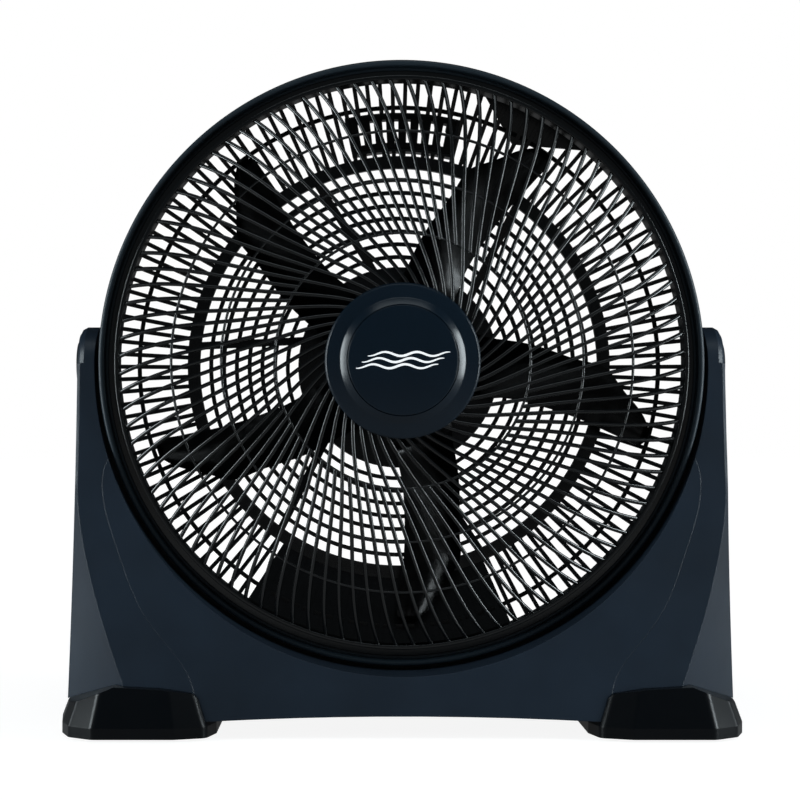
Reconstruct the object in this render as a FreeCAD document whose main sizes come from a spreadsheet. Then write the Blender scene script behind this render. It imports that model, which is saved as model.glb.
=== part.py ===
"""Round-grille floor fan on a U-shaped stand, as separate pieces.

X is to the right, the air leaves towards -Y, +Z is up, and the origin is on the floor under the
middle of the fan. The head turns about the line through the two arms, axis_height above the floor,
and head pieces are drawn about that line and then lifted by axis_height. All sizes are millimetres.
"""
import FreeCAD, Part
import math
import os
import Sketcher

Vector = FreeCAD.Vector
doc = FreeCAD.newDocument("floor_fan")

# ---------------------------------------------------------------- driving dimensions

DIMENSIONS = {
    # whole fan
    "axis_height": 322.0,
    "rim_radius": 265.6,
    "arch_radius": 269.6,
    # drum: the deep outer ring of the head
    "drum_half_depth": 40.0,
    "drum_wall": 3.0,
    "lip_width": 5.5,
    "lip_depth": 11.5,
    "flange_thick": 3.0,
    "ledge_inner": 249.0,
    "rear_opening": 260.0,
    "boss_radius": 15.0,
    "boss_reach": 266.4,
    # front grille
    "grille_ring_outer": 250.3,
    "grille_ring_wall": 3.8,
    "grille_flange": 257.5,
    "dome_crown": 82.0,
    "dome_drop": 35.0,
    "rib_width": 3.5,
    "rib_depth": 4.5,
    "hoop_width": 2.4,
    "hub_radius": 66.7,
    "hub_bevel_outer": 53.7,
    "hub_bevel_back": 85.6,
    "hub_bevel_front": 90.4,
    "plate_radius": 47.0,
    "plate_seat": 84.6,
    "plate_front": 91.5,
    "ring_one": 109.5,
    "ring_two": 155.5,
    "ring_three": 199.3,
    # rear grille
    "rear_rim_depth": 44.0,
    "rear_dome_rise": 27.0,
    "rear_edge": 256.0,
    "thick_ring_inner": 183.4,
    "thick_ring_outer": 194.8,
    "rear_ring": 238.5,
    "rear_ring_width": 3.7,
    "rear_rib_width": 3.75,
    "rear_rib_depth": 4.0,
    "inner_ring_first": 102.9,
    "inner_ring_step": 11.77,
    "inner_ring_width": 3.7,
    "pan_radius": 93.0,
    "pan_floor": 58.0,
    "pan_wall": 3.0,
    # carry handle
    "handle_inner": 200.2,
    "handle_outer": 230.6,
    "handle_floor": 40.0,
    "grip_inner": 231.5,
    "grip_outer": 237.5,
    "grip_front": 66.0,
    "grip_back": 80.0,
    # blades and motor
    "tip_radius": 232.0,
    "blade_hub_radius": 48.0,
    "blade_thick": 2.0,
    "shaft_radius": 4.0,
    "running_gap": 0.05,
    "core_radius": 46.0,
    "rotor_radius": 26.0,
    "air_gap": 0.5,
    "core_front": 22.0,
    "core_back": 46.0,
    "motor_front": 8.0,
    "bell_wall": 2.4,
    "lug_circle": 54.0,
    "lug_radius": 5.0,
    "screw_radius": 2.0,
    "bearing_outer": 8.0,
    "bearing_length": 8.0,
    # motor cover, switch and knob
    "cover_back": 86.0,
    "cover_wall": 2.2,
    "knob_radius": 17.0,
    "knob_back": 97.0,
    "knob_height": 46.0,
    "spindle_radius": 3.0,
    # stand
    "arm_outer": 285.0,
    "arm_half_depth": 32.0,
    "stand_flare": 60.0,
    "stand_low": 24.0,
    "stand_high": 353.0,
    "shell_wall": 3.0,
    "panel_low_side": 15.0,
    "panel_low_middle": 20.0,
    # feet
    "foot_outer": 299.0,
    "foot_inner": 159.5,
    "foot_half_depth": 108.0,
    "foot_lip": 12.0,
    "foot_top": 50.0,
    "foot_taper": 14.0,
    "pad_height": 2.5,
    "pad_radius": 9.0,
    # pivots
    "bolt_radius": 4.0,
    "bush_outer": 8.0,
    "cap_radius": 24.0,
    "cap_reach": 289.0,
    "cap_sink": 0.8,
}

sheet = doc.addObject("Spreadsheet::Sheet", "Dimensions")
for row, (alias, value) in enumerate(DIMENSIONS.items(), start=1):
    sheet.set(f"A{row}", alias)
    sheet.set(f"B{row}", str(value))
    sheet.setAlias(f"B{row}", alias)
doc.recompute()


class Size:
    """A length that knows its number and the sheet expression it comes from."""

    def __init__(self, value, text):
        self.value = value
        self.text = text

    def __float__(self):
        return self.value

    def __add__(self, other):
        return Size(self.value + float(other), f"({self.text} + {words(other)})")

    def __sub__(self, other):
        return Size(self.value - float(other), f"({self.text} - {words(other)})")

    def __mul__(self, other):
        return Size(self.value * float(other), f"({self.text} * {words(other)})")

    def __neg__(self):
        return Size(-self.value, f"(-1 * {self.text})")

    __radd__ = __add__

    def __rsub__(self, other):
        return -self + other


def words(length):
    """The expression text of a length, for a Size or a plain number."""
    return length.text if isinstance(length, Size) else repr(float(length))


def dim(alias):
    """The named length, read from the sheet."""
    return Size(float(sheet.get(alias)), f"Dimensions.{alias}")


# ---------------------------------------------------------------- feature helpers

HEAD = dim("axis_height")
X_PLANE = "YZ_Plane"
Y_PLANE = "XZ_Plane"
Z_PLANE = "XY_Plane"


def bind(thing, name, length):
    """Set a property to a length, and keep it tied to the sheet when it is a Size."""
    if isinstance(length, Size):
        thing.setExpression(name, length.text)
    else:
        setattr(thing, name, float(length))


def new_body(label, lift=None):
    """A PartDesign body, lifted up Z by a length when one is given."""
    body = doc.addObject("PartDesign::Body", label)
    body.Label = label
    if lift is not None:
        body.setExpression("Placement.Base.z", lift.text)
    return body


def origin_feature(body, role):
    """One of the body's own origin planes or axes."""
    return next(item for item in body.Origin.OriginFeatures if item.Role == role)


def new_sketch(body, plane, offset=None):
    """An empty sketch on an origin plane, moved along the plane's normal by offset."""
    sketch = body.newObject("Sketcher::SketchObject", f"{body.Name}_sketch")
    sketch.AttachmentSupport = [(origin_feature(body, plane), "")]
    sketch.MapMode = "FlatFace"
    if offset is not None:
        sketch.AttachmentOffset = FreeCAD.Placement(Vector(0, 0, float(offset)), FreeCAD.Rotation())
        if isinstance(offset, Size):
            sketch.setExpression("AttachmentOffset.Base.z", offset.text)
    return sketch


def place(sketch, item, end, x, y):
    """Fix one point of a sketch at x, y from the sketch's origin."""
    for kind, length, axis in (("DistanceX", x, -2), ("DistanceY", y, -1)):
        if float(length) == 0.0:
            sketch.addConstraint(Sketcher.Constraint("PointOnObject", item, end, axis))
            continue
        rule = sketch.addConstraint(Sketcher.Constraint(kind, -1, 1, item, end, float(length)))
        if isinstance(length, Size):
            sketch.setExpression(f"Constraints[{rule}]", length.text)


def add_outline(sketch, points):
    """A closed polygon through the points."""
    first = sketch.GeometryCount
    count = len(points)
    corners = [Vector(float(x), float(y), 0) for x, y in points]
    for i in range(count):
        sketch.addGeometry(Part.LineSegment(corners[i], corners[(i + 1) % count]))
    for i in range(count):
        following = first + (i + 1) % count
        sketch.addConstraint(Sketcher.Constraint("Coincident", first + i, 2, following, 1))
    for i, (x, y) in enumerate(points):
        place(sketch, first + i, 1, x, y)


def add_circle(sketch, x, y, radius):
    """A circle at x, y."""
    item = sketch.addGeometry(Part.Circle(Vector(float(x), float(y), 0), Vector(0, 0, 1), float(radius)))
    place(sketch, item, 3, x, y)
    rule = sketch.addConstraint(Sketcher.Constraint("Radius", item, float(radius)))
    if isinstance(radius, Size):
        sketch.setExpression(f"Constraints[{rule}]", radius.text)


def revolve(body, points, axis="Y_Axis", cut=False):
    """Turn an outline of (across, along) points a full turn about an axis of the body."""
    sketch = new_sketch(body, Z_PLANE)
    order = points if axis == "Y_Axis" else [(along, across) for across, along in points]
    add_outline(sketch, order)
    feature = body.newObject("PartDesign::Groove" if cut else "PartDesign::Revolution", "turned")
    feature.Profile = sketch
    feature.ReferenceAxis = (origin_feature(body, axis), [""])
    feature.Angle = 360
    return feature


def pad(body, sketch, length, reverse=False):
    """Extrude a sketch along its plane's normal."""
    feature = body.newObject("PartDesign::Pad", "pad")
    feature.Profile = sketch
    bind(feature, "Length", length)
    feature.Reversed = reverse
    return feature


def pocket(body, sketch, length, reverse=False):
    """Cut a sketch into the body, and make sure that it took something away."""
    doc.recompute()
    before = body.Shape.Volume
    feature = body.newObject("PartDesign::Pocket", "pocket")
    feature.Profile = sketch
    bind(feature, "Length", length)
    feature.Reversed = reverse
    doc.recompute()
    if body.Shape.Volume >= before:
        raise RuntimeError(f"a pocket in {body.Label} cut nothing")
    return feature


def around(body, feature, count, axis="Y_Axis"):
    """Repeat a feature evenly about an axis."""
    pattern = body.newObject("PartDesign::PolarPattern", "ring")
    pattern.Originals = [feature]
    pattern.Axis = (origin_feature(body, axis), [""])
    pattern.Angle = 360
    pattern.Occurrences = count
    body.Tip = pattern
    return pattern


def round_edges(body, radius, chosen):
    """Fillet the edges that chosen(edge) picks."""
    doc.recompute()
    base = body.Tip
    names = [f"Edge{i}" for i, edge in enumerate(base.Shape.Edges, start=1) if chosen(edge)]
    feature = body.newObject("PartDesign::Fillet", "rounded")
    feature.Base = (base, names)
    feature.Radius = radius
    return feature


def feature_from(label, shape, lift=None):
    """A Part::Feature that holds a shape made with Part's own functions."""
    feature = doc.addObject("Part::Feature", label)
    feature.Label = label
    feature.Shape = shape
    if lift is not None:
        feature.Placement = FreeCAD.Placement(Vector(0, 0, float(lift)), FreeCAD.Rotation())
    return feature


def spun(points, axis=Vector(0, 1, 0)):
    """A solid of revolution from (radius, along) points; along is Y, or X for an X axis."""
    if axis.y:
        corners = [Vector(float(r), float(a), 0) for r, a in points]
    else:
        corners = [Vector(float(a), float(r), 0) for r, a in points]
    face = Part.Face(Part.makePolygon(corners + corners[:1]))
    return face.revolve(Vector(0, 0, 0), axis, 360)


def rod(x, y, z, radius, length, direction):
    """A round rod from a point."""
    return Part.makeCylinder(float(radius), float(length), Vector(float(x), float(y), float(z)), direction)


def polar(radius, degrees, y=0.0):
    """A point of the head at a radius and an angle from +X towards +Z."""
    angle = math.radians(degrees)
    return Vector(radius * math.cos(angle), y, radius * math.sin(angle))


def turned_copy(shape, degrees):
    """A copy turned about the fan's axis, from +X towards +Z."""
    copy = shape.copy()
    copy.rotate(Vector(0, 0, 0), Vector(0, -1, 0), degrees)
    return copy


def mirrored(shape):
    """The same shape on the other side of the fan."""
    return shape.mirror(Vector(0, 0, 0), Vector(1, 0, 0))


X_AXIS = Vector(1, 0, 0)
Y_AXIS = Vector(0, 1, 0)
Z_AXIS = Vector(0, 0, 1)


CROSS_WIDTH = 0.9
CROSS_DEPTH = 1.0


def block(x, y, z, width, depth, height):
    """A box centred on x and z, that starts at y and goes back."""
    return Part.makeBox(width, depth, height, Vector(x - width / 2, y, z - height / 2))


def screw(x, y, z, length, head=3.6, head_thick=2.4, direction=Y_AXIS, radius=None):
    """A pan-head screw: the underside of its head at the point, its shank running against direction."""
    shank = float(radius if radius is not None else dim("screw_radius"))
    base = Vector(x, y, z)
    body = Part.makeCylinder(shank, length, base - direction * length, direction)
    top = Part.makeCylinder(head, head_thick, base, direction)
    reach = head * 0.9
    cross = block(0, -CROSS_DEPTH, 0, reach, CROSS_DEPTH, CROSS_WIDTH)
    cross = cross.fuse(block(0, -CROSS_DEPTH, 0, CROSS_WIDTH, CROSS_DEPTH, reach))
    cross.Placement = FreeCAD.Placement(base + direction * head_thick, FreeCAD.Rotation(Y_AXIS, direction))
    return body.fuse(top).cut(cross)


# ---------------------------------------------------------------- drum

RIM_SCREW_CIRCLE = 262.3
RIM_SCREW_RADIUS = 1.2
RIM_SCREW_ANGLES = (0, 60, 120, 180, 240, 300)


def make_drum():
    """The deep ring: a front lip, a ledge for the front grille and a flange for the rear grille."""
    rim = dim("rim_radius")
    half = dim("drum_half_depth")
    flange = dim("flange_thick")
    ledge = dim("ledge_inner")
    opening = dim("rear_opening")
    inside = rim - dim("drum_wall")
    lip = rim - dim("lip_width")
    ledge_front = dim("lip_depth") - half
    body = new_body("drum", HEAD)
    revolve(body, [
        (lip, -half), (rim, -half), (rim, half), (opening, half), (opening, half - flange),
        (inside, half - flange), (inside, ledge_front + flange), (ledge, ledge_front + flange),
        (ledge, ledge_front), (lip, ledge_front),
    ])
    front = -float(half)
    round_edges(body, 2.6, lambda edge: abs(edge.BoundBox.Center.y - front) < 0.01)
    round_edges(body, 2.0, lambda edge: abs(edge.BoundBox.Center.y + front) < 0.01
                and edge.BoundBox.XMax > float(rim) - 1)
    root = dim("boss_reach") - 11.5
    for side in (1, -1):
        boss = new_sketch(body, X_PLANE, root * side)
        add_circle(boss, 0, 0, dim("boss_radius"))
        pad(body, boss, dim("boss_reach") - root, reverse=side < 0)
        hole = new_sketch(body, X_PLANE, (root - 4) * side)
        add_circle(hole, 0, 0, dim("bolt_radius"))
        pocket(body, hole, dim("boss_reach") - root + 8, reverse=side > 0)
    screw_hole = new_sketch(body, Y_PLANE, -(half + 1))
    add_circle(screw_hole, RIM_SCREW_CIRCLE, 0, RIM_SCREW_RADIUS)
    cut = pocket(body, screw_hole, flange + 1, reverse=True)
    around(body, cut, len(RIM_SCREW_ANGLES))


# ---------------------------------------------------------------- front grille

SPIRAL_TURN = 31.5
SPIRAL_LENGTH = 48.0
SPIRAL_HOOK = 4.2
DOME_POWER = 3.2
LONG_RIBS = 50
RIB_SECTIONS = 9
HUB_FLOOR = 3.0
PLATE_GAP = 0.3


def dome_front(radius):
    """How far forward the front of the ribs is at a radius."""
    edge = float(dim("grille_ring_outer")) - 2.3
    return -float(dim("dome_crown")) + float(dim("dome_drop")) * (radius / edge) ** DOME_POWER


def spiral_angle(radius):
    """The angle a front rib has turned through, in degrees, on its way out to a radius."""
    start = float(dim("hub_radius"))
    edge = float(dim("grille_ring_outer")) - 2.3
    sweep = SPIRAL_TURN * (1 - math.exp(-(radius - start) / SPIRAL_LENGTH))
    return sweep + SPIRAL_HOOK * (radius / edge) ** 5


def frame_at(radius):
    """The rib's centre on the dome at a radius, and the level direction across the rib there."""
    step = 0.05
    here = polar(radius, spiral_angle(radius), dome_front(radius))
    ahead = polar(radius + step, spiral_angle(radius + step), dome_front(radius))
    along = (ahead - here).normalize()
    return here, Vector(-along.z, 0, along.x)


def spiral_rib(inner, outer):
    """One front rib: a bar of rectangular section that follows the spiral over the dome."""
    half = float(dim("rib_width")) / 2
    deep = Vector(0, float(dim("rib_depth")), 0)
    sections = []
    for i in range(RIB_SECTIONS):
        centre, across = frame_at(inner + (outer - inner) * i / (RIB_SECTIONS - 1))
        near = centre - across * half
        far = centre + across * half
        sections.append(Part.makePolygon([near, far, far + deep, near + deep, near]))
    return Part.makeLoft(sections, True)


def wedge(points, middle, width):
    """Part of a turned ring, width degrees wide, about an angle."""
    corners = [Vector(float(r), float(a), 0) for r, a in points]
    face = Part.Face(Part.makePolygon(corners + corners[:1]))
    ring = face.revolve(Vector(0, 0, 0), Vector(0, -1, 0), width)
    return turned_copy(ring, middle - width / 2)


def hoop_outline(radius, width, surface, start, depth):
    """The section of a thin hoop that begins start behind a curved surface."""
    low = radius - width / 2
    high = radius + width / 2
    front = surface(radius) + start
    return [(low, front), (high, front), (high, front + depth), (low, front + depth)]


def is_cut_face(face):
    """Whether a flat face stands on a plane through the fan's axis, as a wedge's two ends do."""
    if face.Surface.TypeId != "Part::GeomPlane":
        return False
    normal = face.normalAt(0, 0)
    return abs(normal.y) < 1e-6 and abs(face.Vertexes[0].Point.dot(normal)) < 1e-6


def sew_sectors(sector, count):
    """One solid made of count equal sectors, joined where their end faces meet."""
    skin = [face for face in sector.Faces if not is_cut_face(face)]
    turns = [360.0 * i / count for i in range(count)]
    whole = Part.makeCompound([turned_copy(face, turn) for turn in turns for face in skin])
    whole.sewShape()
    return Part.Solid(max(whole.Shells, key=lambda shell: len(shell.Faces)))


def make_front_grille():
    """The front grille: hub dish, spiral ribs on a dome, three hoops and the outer ring."""
    depth = float(dim("rib_depth"))
    width = float(dim("hoop_width"))
    outer = float(dim("grille_ring_outer"))
    wall = float(dim("grille_ring_wall"))
    flange = float(dim("grille_flange"))
    hub = float(dim("hub_radius"))
    bevel = float(dim("hub_bevel_outer"))
    bevel_front = -float(dim("hub_bevel_front"))
    bevel_back = -float(dim("hub_bevel_back"))
    floor_front = -float(dim("plate_seat"))
    floor_back = floor_front + HUB_FLOOR
    plate = float(dim("plate_radius")) + PLATE_GAP
    seat = float(dim("lip_depth")) - float(dim("drum_half_depth"))
    pitch = 360.0 / LONG_RIBS
    first_ring = float(dim("ring_one"))
    ring_front = dome_front(outer - wall) - 1.0
    outer_ring = [
        (outer - wall, ring_front), (outer, ring_front), (outer, seat - 2.6), (flange, seat - 2.6),
        (flange, seat), (outer - wall, seat),
    ]
    edge = dome_front(hub)
    dish = [
        (plate, floor_front), (plate, bevel_front), (bevel, bevel_back), (hub - 1.6, edge - 1.4),
        (hub, edge), (hub, edge + depth + 1.0), (hub - 3, edge + depth + 1.0),
        (bevel - 2, floor_back), (plate - 4, floor_back), (plate - 4, floor_front),
    ]
    rings = [(outer_ring, outer)]
    for name in ("ring_one", "ring_two", "ring_three"):
        radius = float(dim(name))
        rings.append((hoop_outline(radius, width, dome_front, 0.4, depth - 1.4), radius))
    long_rib = spiral_rib(hub - 1.8, outer - 1.7)
    short_rib = turned_copy(spiral_rib(first_ring - 0.6, outer - 1.7), pitch / 2)
    pieces = [wedge(outline, spiral_angle(radius) + pitch / 4, pitch) for outline, radius in rings]
    sector = long_rib.fuse([short_rib, wedge(dish, spiral_angle(hub), pitch)] + pieces)
    shell = sew_sectors(sector, LONG_RIBS)
    floor = rod(0, floor_front, 0, plate, HUB_FLOOR, Y_AXIS)
    feature_from("front_grille", shell.fuse(floor), HEAD)


# ---------------------------------------------------------------- rear grille and carry handle

REAR_RIBS = 138
INNER_RINGS = 7
REAR_SPOKES = 6
SPOKE_START = 49.0
SPOKE_LEAN = 5.0
COVER_SCREW_CIRCLE = 58.0
COVER_SCREW_ANGLES = (30, 150, 270)
MOTOR_SCREW_ANGLES = (45, 135, 225, 315)
HANDLE_MIDDLE = 89.2
HANDLE_SPAN = 25.0
SURROUND_WALL = 2.5
SURROUND_SPAN = 26.3
HANDLE_LIP = 56.0


def rear_surface(radius):
    """How far back the rear of the grille is at a radius."""
    share = 1 - (radius / float(dim("rear_edge"))) ** 2
    return float(dim("rear_rim_depth")) + float(dim("rear_dome_rise")) * share


def bar(start, end, width, depth):
    """A straight bar of rectangular section between two points on the grille's rear surface."""
    along = Vector(end.x - start.x, 0, end.z - start.z).normalize()
    across = Vector(-along.z, 0, along.x) * (width / 2)
    deep = Vector(0, -depth, 0)
    corners = [start, end, end + deep, start + deep]
    face = Part.Face(Part.makePolygon([point - across for point in corners + corners[:1]]))
    return face.extrude(across * 2)


def handle_sector(low, high, start, end, span, middle=HANDLE_MIDDLE):
    """Part of a flat ring between two radii and two depths, span degrees wide, at the handle."""
    return wedge([(low, start), (high, start), (high, end), (low, end)], middle, span)


def make_rear_grille():
    """The rear grille: flange, straight ribs, hoops, spokes, blind panels and the motor pan."""
    depth = float(dim("rear_rib_depth"))
    width = float(dim("rear_rib_width"))
    thick_in = float(dim("thick_ring_inner"))
    thick_out = float(dim("thick_ring_outer"))
    flange_in = float(dim("rear_opening")) + 0.3
    flange_out = float(dim("rim_radius")) - 1.3
    front = float(dim("drum_half_depth"))
    back = float(dim("rear_rim_depth"))
    rib_in = thick_out - 1.5
    rib_out = flange_in + 1.0
    rib_rise = rear_surface(rib_in)

    def straight(radius):
        return rib_rise + (back - rib_rise) * (radius - rib_in) / (rib_out - rib_in)

    rings = [
        [(flange_in, front), (flange_out, front), (flange_out, back), (flange_in, back)],
        [(thick_in, rib_rise - 5.5), (thick_out, rib_rise - 5.5), (thick_out, rib_rise + 1),
         (thick_in, rib_rise + 1)],
    ]
    ring_width = float(dim("rear_ring_width"))
    rings.append(hoop_outline(float(dim("rear_ring")), ring_width, straight, 0.5 - depth, depth - 1.0))
    rib = bar(Vector(rib_in, rib_rise, 0), Vector(rib_out, back - 0.2, 0), width, depth - 0.3)
    sector = rib.fuse([wedge(outline, 0, 360.0 / REAR_RIBS) for outline in rings])
    outer_zone = sew_sectors(sector, REAR_RIBS)

    floor = float(dim("pan_floor"))
    pan = float(dim("pan_radius"))
    wall = float(dim("pan_wall"))
    lug_circle = float(dim("lug_circle"))
    pieces = [spun([
        (12, floor), (pan, floor), (pan, floor + 11), (pan - wall, floor + 11),
        (pan - wall, floor + wall), (12, floor + wall),
    ])]
    for i in range(INNER_RINGS):
        radius = float(dim("inner_ring_first")) + i * float(dim("inner_ring_step"))
        ring_width = float(dim("inner_ring_width"))
        pieces.append(spun(hoop_outline(radius, ring_width, rear_surface, -depth, depth - 1.0)))
    for i in range(REAR_SPOKES):
        middle = SPOKE_START + 360.0 * i / REAR_SPOKES
        start = polar(pan - 2, middle - SPOKE_LEAN, rear_surface(pan))
        end = polar(thick_in + 3, middle + SPOKE_LEAN, rib_rise)
        pieces.append(bar(start, end, 7.0, 5.0))
    for angle in COVER_SCREW_ANGLES:
        post = polar(COVER_SCREW_CIRCLE, angle, floor)
        pieces.append(rod(post.x, floor, post.z, 4.0, float(dim("cover_back")) - 2.4 - floor, Y_AXIS))

    blind = [(rib_in, rib_rise - 3.0), (rib_in, rib_rise - 1.0), (rib_out, back - 1.2), (rib_out, back - 3.2)]
    pieces.append(wedge(blind, 265.3, 56.6))
    corner = Part.Face(Part.makePolygon([polar(275, 75.5), polar(230, 63), polar(275, 45.5), polar(275, 75.5)]))
    pieces.append(corner.extrude(Vector(0, 80, 0)).common(spun(blind)))

    low = float(dim("handle_inner"))
    high = float(dim("handle_outer"))
    wide = SURROUND_WALL
    pieces.append(handle_sector(low - wide, high + wide, front + 1, HANDLE_LIP, SURROUND_SPAN))
    whole = outer_zone.fuse(pieces)
    cuts = [handle_sector(low, high, front - 10, HANDLE_LIP + 10, HANDLE_SPAN)]
    for angle in MOTOR_SCREW_ANGLES:
        spot = polar(lug_circle, angle)
        cuts.append(rod(spot.x, floor - 1, spot.z, 2.1, wall + 2, Y_AXIS))
    for angle in COVER_SCREW_ANGLES:
        spot = polar(COVER_SCREW_CIRCLE, angle)
        cuts.append(rod(spot.x, floor + 8, spot.z, 1.5, 20, Y_AXIS))
    for angle in RIM_SCREW_ANGLES:
        spot = polar(RIM_SCREW_CIRCLE, angle)
        cuts.append(rod(spot.x, front - 1, spot.z, RIM_SCREW_RADIUS, 8, Y_AXIS))
    feature_from("rear_grille", whole.cut(cuts), HEAD)


SLOT_COLUMNS = 8
SLOT_PITCH = 2.87
SLOT_WIDTH = 3.4
SLOT_INNER = 205.7
SLOT_OUTER = 227.0
HANDLE_WALL = 2.5
LIP_THICK = 2.0
POST_SPAN = 2.0


def make_handle():
    """The carry handle: a slotted pocket in the rear grille with a curved grip bar behind it."""
    gap = 0.25
    low = float(dim("handle_inner")) + gap
    high = float(dim("handle_outer")) - gap
    span = HANDLE_SPAN - 2 * math.degrees(gap / low)
    floor = float(dim("handle_floor"))
    wall = HANDLE_WALL
    wall_span = 2 * math.degrees(wall / low)
    lip_end = HANDLE_LIP + LIP_THICK
    shape = handle_sector(low, high, floor, lip_end, span)
    shape = shape.fuse(handle_sector(low - wall, high + wall, HANDLE_LIP, lip_end, span + wall_span))
    pocket_high = high - wall
    shape = shape.cut(handle_sector(low + wall, pocket_high, floor + wall, lip_end + 10, span - wall_span))
    slot_span = 2 * math.degrees(SLOT_WIDTH / (SLOT_INNER + SLOT_OUTER))
    slots = []
    for column in range(SLOT_COLUMNS):
        middle = HANDLE_MIDDLE + (column - (SLOT_COLUMNS - 1) / 2) * SLOT_PITCH
        slots.append(handle_sector(SLOT_INNER, SLOT_OUTER, floor - 1, floor + wall + 1, slot_span, middle))
    shape = shape.cut(slots)
    front = float(dim("grip_front"))
    back = float(dim("grip_back"))
    inner = float(dim("grip_inner"))
    outer = float(dim("grip_outer"))
    rail = handle_sector(inner, outer, front, back, span)
    rail = rail.makeFillet(2.4, [edge for edge in rail.Edges if edge.BoundBox.XLength > 50])
    posts = []
    for side in (-1, 1):
        middle = HANDLE_MIDDLE + side * (span - POST_SPAN) / 2
        posts.append(handle_sector(inner - 6, high, floor + 1, lip_end, POST_SPAN, middle))
        posts.append(handle_sector(inner - 6, outer - 2.4, HANDLE_LIP, back - 2.4, POST_SPAN, middle))
    feature_from("carry_handle", shape.fuse(posts + [rail]).removeSplitter(), HEAD)


def make_rim_screws():
    """The screws that hold the rear grille to the drum."""
    back = float(dim("rear_rim_depth"))
    spots = [polar(RIM_SCREW_CIRCLE, angle) for angle in RIM_SCREW_ANGLES]
    screws = [
        screw(spot.x, back, spot.z, 7.0, head=2.2, head_thick=1.4, radius=RIM_SCREW_RADIUS)
        for spot in spots
    ]
    feature_from("rim_screws", Part.makeCompound(screws), HEAD)


# ---------------------------------------------------------------- hub plate

PLATE_CHAMFER = 0.8


def make_hub_plate():
    """The raised round plate that snaps into the front of the grille's hub dish."""
    plate = dim("plate_radius")
    front = -dim("plate_front")
    seat = -dim("plate_seat")
    body = new_body("hub_plate", HEAD)
    revolve(body, [
        (0, front), (plate - PLATE_CHAMFER, front), (plate, front + PLATE_CHAMFER), (plate, seat), (0, seat),
    ])


# ---------------------------------------------------------------- blades

BLADES = 5
BLADE_START = 126.8
ROOT_PITCH = 47.0
TIP_PITCH = 26.0
BLADE_BACK = 3.0
# radius, and the two edges of the blade there in degrees from the blade's own line
BLADE_OUTLINE = (
    (46.5, -9.0, 39.0), (75, -4.0, 35.0), (90, -1.8, 30.2), (103, 0.0, 27.6), (125, 0.8, 23.4),
    (160, 0.6, 18.0), (182, -0.1, 15.6), (196, -0.7, 11.2), (212, -1.2, 7.4), (224, -1.5, 4.4), (231, 0.0, 2.6),
)


def blade_section(radius, early, late):
    """The section of a blade on a cylinder about the fan's axis."""
    share = (radius - BLADE_OUTLINE[0][0]) / (BLADE_OUTLINE[-1][0] - BLADE_OUTLINE[0][0])
    pitch = math.radians(ROOT_PITCH + (TIP_PITCH - ROOT_PITCH) * share)
    chord = radius * math.radians(late - early)
    fall = math.tan(pitch) * chord
    first = polar(radius, early, BLADE_BACK)
    last = polar(radius, late, BLADE_BACK - fall)
    middle = (first + last) * 0.5 + Vector(0, 0.08 * chord, 0)
    deep = Vector(0, float(dim("blade_thick")) / math.cos(pitch) * 0.9, 0)
    front = Part.Arc(first, middle, last).toShape()
    back = Part.Arc(last + deep, middle + deep, first + deep).toShape()
    ends = [Part.makeLine(last, last + deep), Part.makeLine(first + deep, first)]
    return Part.Wire([front, ends[0], back, ends[1]])


def make_blade():
    """The moulded impeller: a hub cup with five swept blades."""
    hub = float(dim("blade_hub_radius"))
    bore = float(dim("shaft_radius"))
    front = -38.0
    back = 4.0
    cup = spun([
        (bore, front), (hub - 5, front), (hub, front + 5), (hub, back), (hub - 3, back),
        (hub - 3, front + 6), (hub - 6.5, front + 3), (12, front + 3), (12, back - 2), (bore, back - 2),
    ])
    blade = Part.makeLoft([blade_section(*row) for row in BLADE_OUTLINE], True)
    blades = [turned_copy(blade, BLADE_START + 360.0 * i / BLADES) for i in range(BLADES)]
    inside = spun([(bore, front - 5), (hub - 3, front - 5), (hub - 3, back + 10), (bore, back + 10)])
    blades = [piece.cut(inside) for piece in blades]
    slot = block(0, back - 5.5, 0, 21, 4.0, 3.2)
    feature_from("fan_blade", cup.fuse(blades).cut(slot), HEAD)


def make_blade_nut():
    """The knurled nut on the end of the shaft that holds the impeller."""
    body = new_body("blade_nut", HEAD)
    bore = dim("shaft_radius")
    revolve(body, [(0, -52), (10, -52), (14, -48), (16, -38.3), (bore, -38.3), (bore, -46), (0, -46)])
    doc.recompute()
    flutes = new_sketch(body, Y_PLANE, 35)
    add_circle(flutes, 18.2, 0, 3.4)
    cut = pocket(body, flutes, 20, reverse=True)
    around(body, cut, 12)


# ---------------------------------------------------------------- motor

def make_shaft():
    """The motor shaft."""
    body = new_body("motor_shaft", HEAD)
    radius = dim("shaft_radius")
    revolve(body, [(0, -46), (radius - 0.6, -46), (radius, -45.4), (radius, 57.4), (0, 57.4)])
    doc.recompute()
    hole = new_sketch(body, X_PLANE, -10)
    add_circle(hole, 0.5, 0, 1.5)
    pocket(body, hole, 20, reverse=True)


def make_drive_pin():
    """The cross pin that turns the impeller with the shaft."""
    body = new_body("drive_pin", HEAD)
    revolve(body, [(0, -9.5), (1.5, -9.5), (1.5, 9.5), (0, 9.5)], axis="X_Axis")
    body.Placement.Base.y = 0.5


def make_rotor():
    """The squirrel-cage rotor core on the shaft."""
    body = new_body("rotor_core", HEAD)
    bore = dim("shaft_radius")
    radius = dim("rotor_radius")
    front = dim("core_front")
    back = dim("core_back")
    revolve(body, [
        (bore, front - 4), (radius - 7, front - 4), (radius - 7, front), (radius, front), (radius, back),
        (radius - 7, back), (radius - 7, back + 4), (bore, back + 4),
    ])


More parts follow.
